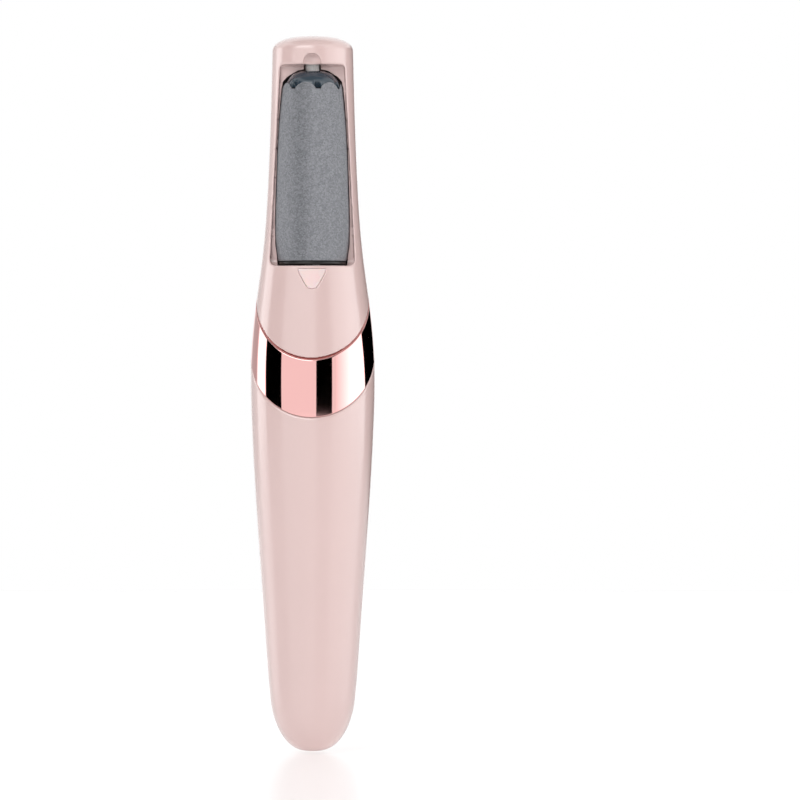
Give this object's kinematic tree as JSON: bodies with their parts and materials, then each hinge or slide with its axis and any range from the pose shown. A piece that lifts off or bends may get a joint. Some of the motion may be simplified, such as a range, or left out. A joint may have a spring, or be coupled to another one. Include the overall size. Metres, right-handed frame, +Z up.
{
  "type": "electric callus remover",
  "caption": "Slim upright electric foot file: tapered handle with a slanted metal band and a framed head holding a spinning mineral roller on a vertical axis.",
  "frame": {"origin": "centre of the small flat foot under the rounded base, with the wand standing upright", "axes": "+Z up along the handle towards the head, -Y out through the roller window (front), +X to the right seen from the front"},
  "size_m": [0.033, 0.0323, 0.19],
  "materials": {
    "body_pink": "satin gloss pale pink moulded plastic",
    "rose_chrome": "mirror rose gold electroplate on plastic",
    "lens_clear": "frosted translucent plastic",
    "mineral_grey": "fine grey mineral grit",
    "cap_slate": "glossy dark slate plastic",
    "base_black": "satin black plastic",
    "pin_white": "white acetal",
    "inner_white": "natural moulded plastic",
    "gear_nylon": "moulded nylon",
    "steel": "bright steel",
    "brass": "plain brass",
    "bronze": "sintered bronze",
    "copper": "enamelled copper windings",
    "magnet": "ferrite",
    "board_green": "green glass-epoxy laminate",
    "chip_black": "black epoxy",
    "cell_wrap": "blue shrink wrap on a steel can",
    "wire_red": "red insulation",
    "wire_black": "black insulation",
    "wire_white": "white insulation",
    "seal_rubber": "black rubber"
  },
  "bodies": {
    "wand": {"accent_ring": "rose_chrome", "battery_cell": "cell_wrap", "battery_tab_negative": "steel", "battery_tab_positive": "steel", "battery_wire_black": "wire_black", "battery_wire_red": "wire_red", "charge_chip": "chip_black", "charge_led": "lens_clear", "charge_light_pipe": "lens_clear", "chassis": "inner_white", "control_chip": "chip_black", "gearbox_base": "inner_white", "gearbox_cover": "inner_white", "gearbox_screw_left": "steel", "gearbox_screw_right": "steel", "handle_shell": "body_pink", "head_housing": "body_pink", "head_screw_left": "steel", "head_screw_right": "steel", "led": "lens_clear", "led_board": "board_green", "led_lens": "lens_clear", "led_wire": "wire_white", "lower_bearing": "bronze", "magnet_left": "magnet", "magnet_right": "magnet", "main_board": "board_green", "motor_can": "steel", "motor_end_cap": "inner_white", "motor_terminal_left": "brass", "motor_terminal_right": "brass", "motor_transistor": "chip_black", "motor_wire_black": "wire_black", "motor_wire_red": "wire_red", "spindle_bush": "bronze", "spindle_seal": "seal_rubber", "switch_body": "steel", "top_bush": "brass", "usb_board": "board_green", "usb_socket": "steel", "usb_tongue": "chip_black", "usb_wire": "wire_white"},
    "roller": {"abrasive_sleeve": "mineral_grey", "roller_core": "inner_white", "roller_end_cap": "cap_slate", "roller_base_cap": "base_black", "pin_spring": "steel"},
    "pin": {"pivot_pin": "pin_white"},
    "spindle": {"drive_spindle": "steel", "output_gear": "gear_nylon"},
    "rotor": {"motor_shaft": "steel", "motor_armature": "copper", "commutator": "copper", "motor_pinion": "brass"},
    "switch": {"switch_slider": "body_pink", "switch_lever": "chip_black"}
  },
  "joints": [
    {"name": "roller_spin", "type": "hinge", "parent": "wand", "child": "roller", "pos_m": [0, -0.004, 0.155], "axis": [0, 0, 1], "continuous": true},
    {"name": "pin_retract", "type": "slide", "parent": "roller", "child": "pin", "axis": [0, 0, -1], "range_m": [0, 0.003], "stiffness_N_per_m": 400, "springref_m": -0.002, "deforming": ["pin_spring"]},
    {"name": "spindle_spin", "type": "hinge", "parent": "wand", "child": "spindle", "pos_m": [0, -0.004, 0.118], "axis": [0, 0, 1], "continuous": true},
    {"name": "motor_spin", "type": "hinge", "parent": "wand", "child": "rotor", "pos_m": [0, 0.0036, 0.095], "axis": [0, 0, 1], "continuous": true},
    {"name": "switch_slide", "type": "slide", "parent": "wand", "child": "switch", "axis": [0, 0.0626, 0.998], "range_m": [0, 0.006]}
  ],
  "couplings": [
    {"joint": "spindle_spin", "follows": "roller_spin", "ratio": 1},
    {"joint": "motor_spin", "follows": "roller_spin", "ratio": -2.8}
  ]
}
